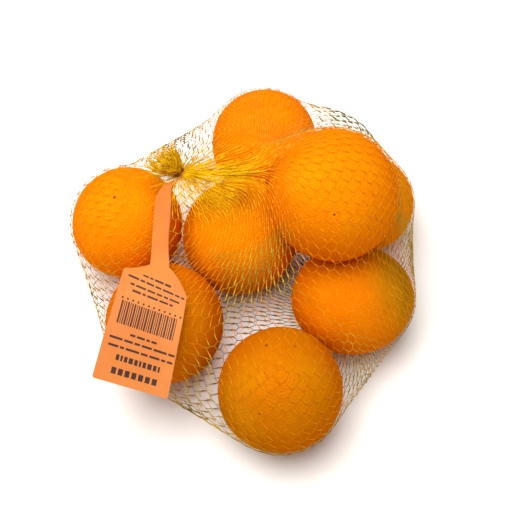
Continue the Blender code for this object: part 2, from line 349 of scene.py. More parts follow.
def read_along(values, rows, places):
    """Each column's values at its places, which are counted in half rows as its rows are."""
    return np.array([np.interp(*column) for column in zip(places, rows, values)])


def points_along(lines, rows, places):
    return np.stack([read_along(lines[..., axis], rows, places) for axis in range(3)], axis=-1)


def strands(lines):
    """Centre lines of all links and threads, and how crowded each is by its neighbours."""
    lines = kept_outside(lines, NET_CLEARANCE)
    rows, share = net_rows(lines)
    angles = np.arange(HALF_COLUMNS)[:, None] * 2.0 * math.pi / HALF_COLUMNS
    middles = (np.arange(HALF_ROWS) + 0.5)[None, :]
    middles = middles + ROW_SWAY * wave_noise(5, angles, middles, ROW_SWAY_TURNS, ROW_SWAY_LENGTH)
    from_tie = np.linalg.norm(points_along(lines, rows, middles) - TIE, axis=2)
    beside = read_along(spacing(lines), rows, middles)
    crowd = 1.0 - smooth_between(beside, CROWDED_BELOW, LOOSE_ABOVE)
    crowd *= 1.0 - smooth_between(from_tie, CROWDED_TO, PALE_BY)
    length = read_along(share, rows, middles)[..., None] * np.linspace(-0.5, 0.5, LINK_POINTS)
    places = np.clip(middles[..., None] + length, 0.0, HALF_ROWS)
    links = kept_outside(points_along(lines, rows, places), LINK_THIN)
    column, row = np.meshgrid(np.arange(HALF_COLUMNS), np.arange(HALF_ROWS), indexing="ij")
    real = (column + row) % 2 == 0
    tied = real[:, :-1]
    start = links[:, :-1, -1]
    down = unit(start - links[:, :-1, 0])
    share = np.linspace(0.0, 1.0, THREAD_POINTS)[:, None]
    slack = THREAD_SLACK * (4.0 * share * (1.0 - share))
    threads = []
    for side in (-1, 1):
        end = np.roll(links, -side, axis=0)[:, 1:, 0]
        line = start[:, :, None] * (1.0 - share) + end[:, :, None] * share
        threads.append((line + down[:, :, None] * slack)[tied])
    threads = kept_outside(np.concatenate(threads), THREAD_RADIUS)
    return links[real], crowd[real], threads, np.tile(crowd[:, :-1][tied], 2)


def gather_lines(lines):
    """Unbroken strands along all columns while they crowd near the tie, and their radii."""
    beside = spacing(lines)
    lines = kept_outside(lines, GATHERS_CLEARANCE)
    away = np.linalg.norm(lines - TIE, axis=2)
    opened = (beside > GATHERS_END_AT) & (away > GATHERS_REACH)
    last = np.argmax(opened | (away > GATHERS_NO_FURTHER), axis=1)
    share = np.linspace(0.0, 1.0, GATHER_POINTS)
    rng = np.random.default_rng(4)
    found = np.empty((HALF_COLUMNS, GATHER_POINTS, 3))
    radii = np.empty((HALF_COLUMNS, GATHER_POINTS))
    for column, end in enumerate(last):
        facing = unit(lines[column, end] - TIE)[1]
        behind = smooth_between(facing, GATHERS_SHORT_FROM, GATHERS_SHORT_BY)
        length = end * rng.uniform(0.8, 1.0) * (1.0 - GATHERS_SHORT * behind)
        place = share * max(GATHERS_LEAST, int(length))
        for axis in range(3):
            line = lines[column, :, axis]
            found[column, :, axis] = np.interp(place, np.arange(len(line)), line)
        tangent = unit(np.gradient(found[column], axis=0))
        sideways = np.cross(tangent, unit(found[column] - HEART))
        kink = np.sin(place * rng.uniform(1.1, 1.9) + rng.uniform(0.0, 6.0))
        kink *= np.minimum(1.0, 4.0 * share)
        found[column] += sideways * (GATHER_KINK * kink)[:, None]
        knots = 0.75 + 0.25 * np.sin(place * rng.uniform(0.9, 1.3) + rng.uniform(0.0, 6.0))
        radii[column] = GATHER_THICK * knots * (1.0 - GATHER_TAPER * share**3)
    return found, radii


def peel_nearness(points):
    """How near a fruit each point is, 1 where it is over one, and how bright that one's peel is."""
    nearest = np.full(points.shape[:-1], np.inf)
    tone = np.ones(nearest.shape)
    for name, (centre, half, _) in FRUIT.items():
        place = (points - np.array(centre) * MM) / (np.array(half) * MM)
        gap = (np.linalg.norm(place, axis=-1) - 1.0) * np.mean(half) * MM
        beside = (np.linalg.norm(place[..., :2], axis=-1) - 1.0) * np.mean(half) * MM
        over = np.where(place[..., 2] > 0.0, np.maximum(beside, -OVER_EDGE) + OVER_EDGE, np.inf)
        found = np.minimum(np.maximum(gap, BESIDE_LEAST), over)
        found += NEAREST_WINS * np.maximum(gap, 0.0)
        red = PEEL[name][0][0]
        tone = np.where(found < nearest, math.sqrt(red / BRIGHT_PEEL), tone)
        nearest = np.minimum(nearest, found)
    return 1.0 - smooth_step((nearest - NEAR_FROM) / NEAR_OVER), tone


def link_radii():
    """A link is a thin strand that thickens into a knitted spindle at its lower end."""
    share = np.linspace(0.0, 1.0, LINK_POINTS)
    swelling = np.clip((share - SPINDLE_FROM) / (1.0 - SPINDLE_FROM), 0.0, 1.0)
    spindle = np.sin(math.pi * swelling) ** 0.7
    return LINK_THIN + (LINK_THICK - LINK_THIN) * spindle


def ring_quads(near, far):
    """Faces between rings of vertices and the rings beside them."""
    quads = np.stack([near, far, np.roll(far, -1, -1), np.roll(near, -1, -1)], axis=-1)
    return quads.reshape(-1, 4).tolist()


def tube_faces(count, points, sides):
    """Faces of closed tubes: their sides, then their flat ends."""
    index = np.arange(count * points * sides).reshape(count, points, sides)
    near, far = index[:, :-1], index[:, 1:]
    quads = np.stack([near, np.roll(near, -1, 2), np.roll(far, -1, 2), far], axis=-1)
    starts, ends = index[:, 0, ::-1], index[:, -1]
    return quads.reshape(-1, 4).tolist() + starts.tolist() + ends.tolist()


def tube_points(lines, radii, sides):
    """Rings of vertices round the centre lines."""
    tangent = unit(np.gradient(lines, axis=1))
    outward = lines - HEART
    outward = unit(outward - tangent * (outward * tangent).sum(-1, keepdims=True))
    sideways = np.cross(tangent, outward)
    turn = (2.0 * math.pi * np.arange(sides) / sides)[:, None]
    ring = outward[:, :, None] * np.cos(turn) + sideways[:, :, None] * np.sin(turn)
    points = lines[:, :, None] + ring * radii[..., None, None]
    return points.reshape(-1, 3)


def make_piece(name, vertices, faces, material, slot):
    """A smooth mesh of its own that rides on the part's body."""
    mesh = bpy.data.meshes.new(name)
    mesh.from_pydata(np.asarray(vertices).tolist(), [], faces)
    mesh.materials.append(material)
    mesh.shade_smooth()
    mesh.update()
    piece = bpy.data.objects.new(name, mesh)
    bpy.context.scene.collection.objects.link(piece)
    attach(piece, "root")
    return piece


def paint(piece, name, values):
    """Keeps one number for each vertex, which a material reads by its name."""
    layer = piece.data.attributes.new(name, "FLOAT", "POINT")
    layer.data.foreach_set("value", np.asarray(values, np.float32).ravel())


def tube_piece(name, lines, radii, sides, material, crowd):
    """Strands of the net as one piece, with what its material reads at each vertex."""
    near, tone = peel_nearness(lines)
    radii = radii * (1.0 + OPEN_THICKER * (1.0 - near))
    faces = tube_faces(len(lines), lines.shape[1], sides)
    piece = make_piece(name, tube_points(lines, radii, sides), faces, material, "golden_net")
    paint(piece, "near_peel", np.repeat(near.ravel(), sides))
    paint(piece, "peel_tone", np.repeat(tone.ravel(), sides))
    paint(piece, "crowd", np.repeat(crowd, lines.shape[1] * sides))
    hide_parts("net")


# ---------------------------------------------------------------- the tuft and the clip

# The tuft beyond the clip: loose ends of the net that flare out, lean over and end in teeth.
# The first few are longer wisps.  Lengths are shares of the tuft's own.
TUFT_STRANDS = 240
TUFT_POINTS = 12
TUFT_LENGTH = 10.5 * MM
TUFT_RADIUS = 8.0 * MM
TUFT_LEAN = np.array([-4.5, 0.2, 0.6]) * MM
TUFT_MEAN = 0.80
TUFT_TEETH = 9
TUFT_TOOTH = 0.16
TUFT_UNEVEN = 0.20
TUFT_FLARED_BY = 0.85
TUFT_CURLS_FROM = 0.6
TUFT_WISPS = 34
WISP_LONGER = 1.35
WISP_WIDER = 1.2
NECK_RADIUS = 1.5 * MM

# The clip: a strip's size, how oval its ring is, and where its crimped overlap is and how thick.
CLIP_RADIUS = 2.8 * MM
CLIP_HALF_WIDTH = 0.95 * MM
CLIP_HALF_THICKNESS = 0.34 * MM
CLIP_SQUEEZE = 0.07
CLIP_STEPS = 72
CLIP_CORNERS = 12
CLIP_ROUNDNESS = 0.55
CRIMP_AT = 2.2
CRIMP_SPREAD = 0.42
CRIMP_OUT = 0.25 * MM
CRIMP_THICKER = 0.8
CRIMP_NARROWER = 0.25
CRIMP_NOTCH = 0.12
CRIMP_NOTCHES = 14


def tuft_strands():
    """Centre lines of the tuft's strands, from inside the neck out to their tips."""
    rng = np.random.default_rng(8)
    share = np.linspace(0.0, 1.0, TUFT_POINTS)
    lines = np.empty((TUFT_STRANDS, TUFT_POINTS, 3))
    for number in range(TUFT_STRANDS):
        turn = rng.uniform(0.0, 2.0 * math.pi)
        spread = math.sqrt(rng.uniform(0.02, 1.0))
        length = TUFT_MEAN + TUFT_TOOTH * math.cos(TUFT_TEETH * turn)
        length = TUFT_LENGTH * (length + rng.uniform(-TUFT_UNEVEN, TUFT_UNEVEN))
        if number < TUFT_WISPS:
            length *= WISP_LONGER
            spread *= WISP_WIDER
        flare = np.sin(0.5 * math.pi * np.clip(share / TUFT_FLARED_BY, 0.0, 1.0)) ** 1.3
        curled = np.maximum(share - TUFT_CURLS_FROM, 0.0) / (1.0 - TUFT_CURLS_FROM)
        curl = 1.0 + rng.uniform(-0.25, 0.45) * curled
        radius = NECK_RADIUS * (1.0 - flare) + TUFT_RADIUS * flare * curl
        sway = turn + rng.uniform(-0.9, 0.9) * share**2
        sway += 0.12 * np.sin(9.0 * share + rng.uniform(0.0, 6.0))
        outward = NECK_LEVEL * np.cos(sway)[:, None] + NECK_UPRIGHT * np.sin(sway)[:, None]
        along = -GATHER_DEPTH + (GATHER_DEPTH + length) * share
        lines[number] = TIE + NECK_AXIS * along[:, None] + outward * (radius * spread)[:, None]
        lines[number] += TUFT_LEAN * (share**2)[:, None]
    return lines


def tuft_radii():
    """Each loose end is a row of knitted spindles with thin necks between them."""
    rng = np.random.default_rng(9)
    share = np.linspace(0.0, 1.0, TUFT_POINTS)
    phase = rng.uniform(0.0, 2.0 * math.pi, (TUFT_STRANDS, 1))
    radii = LINK_THIN + (LINK_THICK - LINK_THIN) * (0.5 + 0.5 * np.sin(17.0 * share + phase))
    radii[:, -1] *= 0.4
    return radii


def clip_points():
    """The clip: a flat strip bent into a ring round the neck, with a crimped overlap."""
    turns = 2.0 * math.pi * np.arange(CLIP_STEPS) / CLIP_STEPS
    corners = 2.0 * math.pi * np.arange(CLIP_CORNERS) / CLIP_CORNERS
    points = []
    for turn in turns:
        past_crimp = math.remainder(turn - CRIMP_AT, 2.0 * math.pi)
        overlap = math.exp(-((past_crimp / CRIMP_SPREAD) ** 2))
        notch = CRIMP_NOTCH * math.cos(CRIMP_NOTCHES * turn) * overlap
        radius = CLIP_RADIUS * (1.0 + CLIP_SQUEEZE * math.cos(2.0 * turn)) + CRIMP_OUT * overlap
        depth = CLIP_HALF_THICKNESS * (1.0 + CRIMP_THICKER * overlap + notch)
        width = CLIP_HALF_WIDTH * (1.0 - CRIMP_NARROWER * overlap)
        outward = NECK_LEVEL * math.cos(turn) + NECK_UPRIGHT * math.sin(turn)
        for corner in corners:
            across = np.sign(math.cos(corner)) * abs(math.cos(corner)) ** CLIP_ROUNDNESS
            thick = np.sign(math.sin(corner)) * abs(math.sin(corner)) ** CLIP_ROUNDNESS
            points.append(TIE + outward * (radius + thick * depth) + NECK_AXIS * across * width)
    index = np.arange(len(points)).reshape(CLIP_STEPS, CLIP_CORNERS)
    return points, ring_quads(index, np.roll(index, -1, axis=0))


# ---------------------------------------------------------------- the tag

# The tag's stations in millimetres: the ribbon's middle, the direction across it, its width.
# They start at its free end, and pass over the fruit and the strap to the tip of its tail.
TAG_STATIONS = (
    ((-55.3, -78.4, 54.8), (0.95, -0.31, 0.09), 40.3),
    ((-51.0, -60.6, 60.9), (0.94, -0.34, 0.06), 38.6),
    ((-47.6, -46.9, 64.7), (0.93, -0.37, 0.07), 37.3),
    ((-46.0, -39.0, 65.4), (0.92, -0.39, 0.09), 37.1),
    ((-43.6, -26.7, 66.2), (0.86, -0.48, 0.14), 37.5),
    ((-41.7, -17.8, 66.7), (0.91, -0.27, 0.31), 10.8),
    ((-41.6, -9.5, 67.7), (0.92, -0.17, 0.36), 9.5),
    ((-41.5, -2.3, 68.9), (0.91, -0.18, 0.37), 9.3),
    ((-40.9, 7.0, 70.7), (0.91, -0.18, 0.36), 9.4),
    ((-40.4, 16.9, 71.6), (0.92, -0.18, 0.36), 9.0),
    ((-38.4, 24.4, 72.0), (0.91, -0.19, 0.36), 5.5),
)
STRAP_AT_NECK = (
    ((-2.4, 3.2, 0.0), 3.0),
    ((-0.9, 1.6, 0.0), 1.6),
    ((0.9, 1.6, 0.0), 1.6),
)
TAIL_ROOT = (1.9, 2.8, -1.8)
TAIL_DIRECTION = (-0.85, -0.25, 0.45)
TAIL_ACROSS = (0.40, 0.78, 0.48)
TAIL_LENGTH = 9.0
TAIL_WIDTH = 3.6
TAIL_TIP_WIDTH = 0.8
TAG_STEP = 0.6 * MM
TAG_CELLS = 24
TAG_THICKNESS = 0.4 * MM
TAG_BACKING = 0.14 * MM
TAG_CORNER = 1.1 * MM

# The face ripples a little, and the narrow strap doesn't.
TAG_RIPPLE = 0.12 * MM
FLAT_BELOW = 12.0 * MM
RIPPLED_ABOVE = 32.0 * MM


def beside_tie(along, out, side):
    """A point near the tie: millimetres along the neck, out from it, and to its side."""
    return TIE + (NECK_AXIS * along - NECK_UPRIGHT * out + NECK_LEVEL * side) * MM


def tag_stations():
    """All stations as arrays: middles, directions across, and widths, in metres."""
    stations = [(np.array(middle) * MM, across, width) for middle, across, width in TAG_STATIONS]
    stations += [(beside_tie(*place), NECK_LEVEL, width) for place, width in STRAP_AT_NECK]
    root = beside_tie(*TAIL_ROOT)
    stations.append((root, TAIL_ACROSS, TAIL_WIDTH))
    tip = root + unit(np.array(TAIL_DIRECTION)) * TAIL_LENGTH * MM
    stations.append((tip, TAIL_ACROSS, TAIL_TIP_WIDTH))
    middles, across, widths = zip(*stations)
    return np.array(middles), unit(np.array(across)), np.array(widths) * MM


def tag_sections():
    """Fine sections of the ribbon: distance from the free end, middle, across, face, width."""
    middles, across, widths = tag_stations()
    padded = np.concatenate([middles[:1], middles, middles[-1:]])
    points, turned, wide = [], [], []
    for index in range(len(middles) - 1):
        # A smooth curve from one station to the next, which heads for the ones beyond them.
        before, start, end, after = padded[index:index + 4]
        steps = max(2, round(np.linalg.norm(end - start) / TAG_STEP))
        for share in np.arange(steps) / steps:
            points.append(
                start
                + (end - before) * (0.5 * share)
                + (before * 2.0 - start * 5.0 + end * 4.0 - after) * (0.5 * share**2)
                + (start * 3.0 - before - end * 3.0 + after) * (0.5 * share**3)
            )
            turned.append(across[index] * (1.0 - share) + across[index + 1] * share)
            wide.append(widths[index] * (1.0 - share) + widths[index + 1] * share)
    points = np.array(points + [middles[-1]])
    turned = unit(np.array(turned + [across[-1]]))
    wide = np.array(wide + [widths[-1]])
    steps = np.linalg.norm(np.diff(points, axis=0), axis=1)
    distance = np.concatenate([[0.0], np.cumsum(steps)])
    face = unit(np.cross(turned, np.gradient(points, axis=0)))
    return distance, points, turned, face, wide


def tag_surface(sections, along, aside, height):
    """Points on the tag: a distance from its free end, one from its middle line, and a height."""
    distance, points, turned, face, _ = sections
    found = np.zeros((*np.shape(along), 3))
    for axis in range(3):
        middle = np.interp(along, distance, points[:, axis])
        sideways = np.interp(along, distance, turned[:, axis])
        outward = np.interp(along, distance, face[:, axis])
        found[..., axis] = middle + sideways * aside + outward * height
    return found


def tag_ripple(along, aside):
    waves = np.sin(aside / (5.0 * MM) + along / (9.0 * MM))
    return TAG_RIPPLE * waves * np.sin(along / (6.0 * MM))


def ribbon_mesh(sections, low, high):
    """A closed ribbon between two heights above the tag's middle surface."""
    distance, _, _, _, wide = sections
    near_end = np.clip(distance / TAG_CORNER, 0.0, 1.0)
    trim = TAG_CORNER * (1.0 - np.sqrt(1.0 - (1.0 - near_end) ** 2))
    half = wide / 2.0 - trim
    place = np.linspace(-1.0, 1.0, TAG_CELLS + 1)
    aside = half[:, None] * place
    along = np.broadcast_to(distance[:, None], aside.shape)
    ripple = tag_ripple(along, aside)
    ripple *= smooth_between(wide[:, None], FLAT_BELOW, RIPPLED_ABOVE)
    upper = tag_surface(sections, along, aside, high + ripple)
    lower = tag_surface(sections, along, aside, low + ripple)
    rings = np.concatenate([upper, lower[:, ::-1]], axis=1)
    index = np.arange(rings.shape[0] * rings.shape[1]).reshape(rings.shape[:2])
    near, far = index[:-1], index[1:]
    quads = np.stack([np.roll(near, -1, 1), near, far, np.roll(far, -1, 1)], axis=-1)
    ends = [index[0].tolist(), index[-1, ::-1].tolist()]
    return rings.reshape(-1, 3), quads.reshape(-1, 4).tolist() + ends


# The print, as plain shapes: each row has its distance from the free end, its length and its
# height, the lengths of its marks and the space between them, in millimetres.
PRINT_RISE = 0.035 * MM
PRINT_CELL = 1.2
SHORTEST_MARK = 0.4
ROWS_ASIDE = 1.2
ROWS = (
    (55.6, 17.0, 1.0, (3.4, 1.9, 5.2), 0.8),
    (52.5, 32.6, 1.0, (6.2, 2.6, 4.4, 3.4), 0.9),
    (49.1, 28.0, 1.0, (2.4, 5.6, 4.4, 3.2), 0.9),
    (46.2, 24.0, 1.1, (4.8, 1.8, 6.0), 0.9),
    (41.5, 33.0, 1.0, (1.0,), 1.9),
    (24.9, 14.5, 1.1, (2.8, 4.2, 1.8), 0.9),
    (21.5, 34.8, 1.1, (7.0, 4.6, 3.0, 5.4), 0.9),
    (17.7, 34.2, 1.1, (5.4, 2.2, 7.2, 3.6), 0.9),
    (12.7, 23.3, 2.8, (1.7, 1.1, 1.7, 2.2), 0.8),
    (6.1, 25.0, 3.2, (2.5,), 1.1),
)
STRIPES_ASIDE = 0.6
STRIPES = (34.4, 30.5, 11.5, (0.9, 0.4, 0.6), 0.55)


def row_marks(aside, along, length, height, sizes, gap):
    """A row's marks: distance from the free end, place aside, length aside, height along."""
    marks = []
    place = -length / 2.0
    while place < length / 2.0 - SHORTEST_MARK:
        size = min(sizes[len(marks) % len(sizes)], length / 2.0 - place)
        marks.append((along, aside + place + size / 2.0, size, height))
        place += size + gap
    return marks


def print_marks():
    marks = [mark for row in ROWS for mark in row_marks(ROWS_ASIDE, *row)]
    return marks + row_marks(STRIPES_ASIDE, *STRIPES)


def print_mesh(sections):
    """Thin raised marks, which follow the tag's surface."""
    vertices, faces = [], []
    for along, aside, length, height in print_marks():
        steps = [
            np.linspace(-0.5, 0.5, max(2, round(size / PRINT_CELL)) + 1) * size
            for size in (length, height)
        ]
        across, down = np.meshgrid(*steps, indexing="ij")
        at, beside = (along + down) * MM, (aside + across) * MM
        face = TAG_THICKNESS / 2.0 + tag_ripple(at, beside)
        top = len(vertices) + np.arange(across.size).reshape(across.shape)
        bottom = top + across.size
        for lift in (PRINT_RISE, -PRINT_RISE):
            vertices.extend(tag_surface(sections, at, beside, face + lift).reshape(-1, 3))
        for layer, order in ((top, 1), (bottom, -1)):
            corners = [layer[:-1, :-1], layer[1:, :-1], layer[1:, 1:], layer[:-1, 1:]]
            faces.extend(np.stack(corners[::order], axis=-1).reshape(-1, 4).tolist())
        rim = np.concatenate([top[:, 0], top[-1, 1:], top[-2::-1, -1], top[0, -2:0:-1]])
        under = rim + across.size
        sides = np.stack([np.roll(rim, -1), rim, under, np.roll(under, -1)], axis=-1)
        faces.extend(sides.tolist())
    return vertices, faces


# ---------------------------------------------------------------- materials

def new_material(name):
    material = bpy.data.materials.new(name)
    material.use_nodes = True
    nodes = material.node_tree.nodes
    return material, nodes, material.node_tree.links, nodes["Principled BSDF"]


def attribute_node(nodes, name):
    node = nodes.new("ShaderNodeAttribute")
    node.attribute_name = name
    return node.outputs["Fac"]


def colour_node(nodes, colour):
    node = nodes.new("ShaderNodeRGB")
    node.outputs[0].default_value = (*colour, 1.0)
    return node.outputs[0]


def noise_node(nodes, links, coordinates, scale, detail, roughness=0.5):
    noise = nodes.new("ShaderNodeTexNoise")
    noise.inputs["Scale"].default_value = scale
    noise.inputs["Detail"].default_value = detail
    noise.inputs["Roughness"].default_value = roughness
    links.new(coordinates, noise.inputs["Vector"])
    return noise.outputs["Fac"]


def ramp_node(nodes, links, value, stops):
    """A colour read from stops, each a value and its colour."""
    ramp = nodes.new("ShaderNodeValToRGB")
    elements = ramp.color_ramp.elements
    while len(elements) > 1:
        elements.remove(elements[-1])
    elements[0].position = stops[0][0]
    elements[0].color = (*stops[0][1], 1.0)
    for place, colour in stops[1:]:
        elements.new(place).color = (*colour, 1.0)
    links.new(value, ramp.inputs["Fac"])
    return ramp.outputs["Color"]


def range_node(nodes, links, value, low, high, start=0.0, end=1.0, kind="LINEAR"):
    """Goes from start to end while the value goes from low to high, and is level beyond."""
    node = nodes.new("ShaderNodeMapRange")
    node.interpolation_type = kind
    node.inputs["From Min"].default_value = low
    node.inputs["From Max"].default_value = high
    node.inputs["To Min"].default_value = start
    node.inputs["To Max"].default_value = end
    links.new(value, node.inputs["Value"])
    return node.outputs["Result"]


def cells_node(nodes, links, coordinates, scale):
    """Distance to the middle of the nearest of many small cells."""
    cells = nodes.new("ShaderNodeTexVoronoi")
    cells.inputs["Scale"].default_value = scale
    links.new(coordinates, cells.inputs["Vector"])
    return cells.outputs["Distance"]


def bump_normal(nodes, links, shader, height, strength, distance):
    bump = nodes.new("ShaderNodeBump")
    bump.inputs["Strength"].default_value = strength
    bump.inputs["Distance"].default_value = distance
    links.new(height, bump.inputs["Height"])
    links.new(bump.outputs["Normal"], shader.inputs["Normal"])


def mix_colour(nodes, links, kind, factor, first, second):
    mix = nodes.new("ShaderNodeMix")
    mix.data_type = "RGBA"
    mix.blend_type = kind
    if isinstance(factor, float):
        mix.inputs["Factor"].default_value = factor
    else:
        links.new(factor, mix.inputs["Factor"])
    links.new(first, mix.inputs["A"])
    links.new(second, mix.inputs["B"])
    return mix.outputs["Result"]


# The peel's colours apart from its orange, and how uneven its marks' edges are, in millimetres.
# The greener side's colours are dark: partly the peel's own green, partly painted shade on sides
# turned away from the light.
GREEN_SHADE_DARK = (0.30, 0.150, 0.003)
GREEN_SHADE_PALE = (0.48, 0.212, 0.004)
MARK_BROWN = (0.14, 0.035, 0.004)
MARK_UNEVEN = 0.6
WHITE = (1.0, 1.0, 1.0)

# The net's colours, dark and pale: over air, beside peel, over peel, and where it is gathered.
# Beside and over peel they are painted light: the peel's orange bounced onto the strands and taken
# through them.
NET_COLOURS = (
    ((0.145, 0.105, 0.016), (0.310, 0.225, 0.036)),
    ((0.38, 0.245, 0.014), (0.62, 0.400, 0.028)),
    ((0.74, 0.200, 0.002), (0.90, 0.300, 0.004)),
    ((0.64, 0.330, 0.002), (0.84, 0.480, 0.005)),
)

# The films' colours, dark and pale.
CALYX_FILM = (0.090, 0.080, 0.022), (0.180, 0.150, 0.045)
CLIP_FILM = (0.10, 0.018, 0.006), (0.20, 0.045, 0.016)
TAG_FILM = (0.54, 0.145, 0.018), (0.62, 0.190, 0.030)
TAG_BACK_FILM = (0.50, 0.33, 0.34), (0.62, 0.45, 0.47)
INK_FILM = (0.035, 0.010, 0.005), (0.070, 0.022, 0.012)
FLOOR_COLOURS = (0.91, 0.895, 0.855), (0.94, 0.925, 0.885)


def facing_node(nodes, links, outward, direction):
    """How far the direction out of a fruit is from a constant one: 0 along it, 2 against it."""
    node = nodes.new("ShaderNodeVectorMath")
    node.operation = "DISTANCE"
    links.new(outward, node.inputs[0])
    node.inputs[1].default_value = unit(np.array(direction))
    return node.outputs["Value"]


def peel_material(name, half, peel):
    """Peel with its pores and their painted shade, tops painted lighter and yellower, a greener
    side that is partly painted shade, and the small brown marks of handling.
    """
    (red, green), green_shade_side, green_shade_amount, marks = peel
    material, nodes, links, shader = new_material(f"{name}_peel")
    place = nodes.new("ShaderNodeTexCoord").outputs["Object"]
    broad = noise_node(nodes, links, place, 45.0, 3.0)
    # The peel is painted yellower and lighter towards its top and redder low down: painted light
    # from above, partly the peel's own colour.
    low = ramp_node(nodes, links, broad, (
        (0.30, (red - 0.05, green - 0.022, 0.0006)),
        (0.70, (red - 0.01, green + 0.004, 0.0010)),
    ))
    high = ramp_node(nodes, links, broad, (
        (0.30, (red - 0.05, green - 0.002, 0.0010)),
        (0.70, (red - 0.01, green + 0.050, 0.0015)),
    ))
    height = nodes.new("ShaderNodeSeparateXYZ")
    links.new(place, height.inputs[0])
    top = half[2] * MM
    painted_top_light = range_node(
        nodes, links, height.outputs["Z"], 0.1 * top, 0.95 * top, kind="SMOOTHSTEP"
    )
    colour = mix_colour(nodes, links, "MIX", painted_top_light, low, high)
    outward = nodes.new("ShaderNodeVectorMath")
    outward.operation = "NORMALIZE"
    links.new(place, outward.inputs[0])
    outward = outward.outputs["Vector"]
    # The darker, greener side: partly the peel's own green, partly painted shade on a side turned
    # away from the light or into the pile.
    away = facing_node(nodes, links, outward, green_shade_side)
    green_shade_share = range_node(nodes, links, away, 0.45, 1.35, green_shade_amount, 0.0, "SMOOTHERSTEP")
    green_and_shade = ramp_node(nodes, links, broad, ((0.35, GREEN_SHADE_DARK), (0.65, GREEN_SHADE_PALE)))
    colour = mix_colour(nodes, links, "MIX", green_shade_share, colour, green_and_shade)
    specks = cells_node(nodes, links, place, 420.0)
    specks = ramp_node(nodes, links, specks, ((0.05, (0.82, 0.70, 0.55)), (0.16, WHITE)))
    colour = mix_colour(nodes, links, "MULTIPLY", 0.5, colour, specks)
    for direction, size in marks:
        shape = nodes.new("ShaderNodeMath")
        shape.operation = "MULTIPLY_ADD"
        links.new(noise_node(nodes, links, place, 700.0, 2.0), shape.inputs[0])
        shape.inputs[1].default_value = 2.0 * MARK_UNEVEN / half[0]
        links.new(facing_node(nodes, links, outward, direction), shape.inputs[2])
        core, edge = (size * 0.4 + MARK_UNEVEN) / half[0], (size + MARK_UNEVEN) / half[0]
        stain = range_node(nodes, links, shape.outputs[0], core, edge, 0.9, 0.0)
        colour = mix_colour(nodes, links, "MIX", stain, colour, colour_node(nodes, MARK_BROWN))
    # The pores' pits are painted darker: painted shade in the hollows that the bump makes.
    pores = cells_node(nodes, links, place, 1250.0)
    painted_pore_shade = ramp_node(nodes, links, pores, ((0.0, (0.78, 0.66, 0.60)), (0.35, WHITE)))
    colour = mix_colour(nodes, links, "MULTIPLY", 0.7, colour, painted_pore_shade)
    links.new(colour, shader.inputs["Base Color"])
    shader.inputs["Roughness"].default_value = 0.36
    shader.inputs["Metallic"].default_value = 0.08
    shader.inputs["Specular IOR Level"].default_value = 0.0
    shader.inputs["Specular Tint"].default_value = (1.0, 0.62, 0.16, 1.0)
    bump_normal(nodes, links, shader, pores, 0.5, 0.0006)
    return material


def net_material():
    """Yellow plastic with the light it takes from the peel behind and beside it painted in, and
    deeper in gathers.
    """
    material, nodes, links, shader = new_material("golden_net")
    place = nodes.new("ShaderNodeTexCoord").outputs["Object"]
    tone = noise_node(nodes, links, place, 120.0, 2.0)
    airy, painted_bounce, painted_peel_light, deep = (
        ramp_node(nodes, links, tone, ((0.35, dark), (0.65, pale))) for dark, pale in NET_COLOURS
    )
    painted_peel_light = mix_colour(nodes, links, "MULTIPLY", 1.0, painted_peel_light, attribute_node(nodes, "peel_tone"))
    near = attribute_node(nodes, "near_peel")
    beside = range_node(nodes, links, near, 0.0, 0.5)
    over = range_node(nodes, links, near, 0.93, 0.99)
    colour = mix_colour(nodes, links, "MIX", beside, airy, painted_bounce)
    colour = mix_colour(nodes, links, "MIX", over, colour, painted_peel_light)
    colour = mix_colour(nodes, links, "MIX", attribute_node(nodes, "crowd"), colour, deep)
    links.new(colour, shader.inputs["Base Color"])
    shader.inputs["Roughness"].default_value = 0.42
    shader.inputs["Specular IOR Level"].default_value = 0.1
    shader.inputs["Specular Tint"].default_value = (1.0, 0.75, 0.35, 1.0)
    return material


def film_material(name, dark, pale, roughness):
    """Thin printed film: a faint cloudy tone, fine fibres, and a soft sheen."""
    material, nodes, links, shader = new_material(name)
    place = nodes.new("ShaderNodeTexCoord").outputs["Object"]
    cloud = noise_node(nodes, links, place, 38.0, 3.0)
    colour = ramp_node(nodes, links, cloud, ((0.3, dark), (0.7, pale)))
    fibres = noise_node(nodes, links, place, 900.0, 3.0, 0.7)
    grain = ramp_node(nodes, links, fibres, ((0.3, (0.93, 0.92, 0.90)), (0.7, WHITE)))
    colour = mix_colour(nodes, links, "MULTIPLY", 1.0, colour, grain)
    links.new(colour, shader.inputs["Base Color"])
    shader.inputs["Roughness"].default_value = roughness
    shader.inputs["Specular IOR Level"].default_value = 0.2
    bump_normal(nodes, links, shader, fibres, 0.25, 0.0001)
    return material


def floor_material():
    material, nodes, links, shader = new_material("pale_floor")
    place = nodes.new("ShaderNodeTexCoord").outputs["Object"]
    tone = noise_node(nodes, links, place, 6.0, 2.0)
    dark, pale = FLOOR_COLOURS
    colour = ramp_node(nodes, links, tone, ((0.3, dark), (0.7, pale)))
    links.new(colour, shader.inputs["Base Color"])
    shader.inputs["Roughness"].default_value = 0.7
    return material


# ---------------------------------------------------------------- pieces

# An orange's form, in millimetres: its lumps as size, count and height, the skin's depth under
# the half sizes, and the depth and spread of the dimples at its stem and its other end.
ORANGE_GRID = 48
LUMPS = ((3.0, 8, 0.35), (8.0, 16, 0.10), (20.0, 30, 0.035))
SKIN_UNDER = 0.45
STEM_DIMPLE = (1.4, 0.02)
FAR_DIMPLE = (0.5, 0.006)

# A calyx's rings, from the middle out: their radius, and their height above the fruit's form.
BUTTON_PROFILE = (
    (0.5, -1.05), (0.9, -0.75), (1.3, -1.15), (2.0, -1.05), (2.7, -0.75), (2.9, -1.05), (2.4, -2.4)
)
BUTTON_STEPS = 40
BUTTON_LOBES = 5
BUTTON_LOBED = 0.16

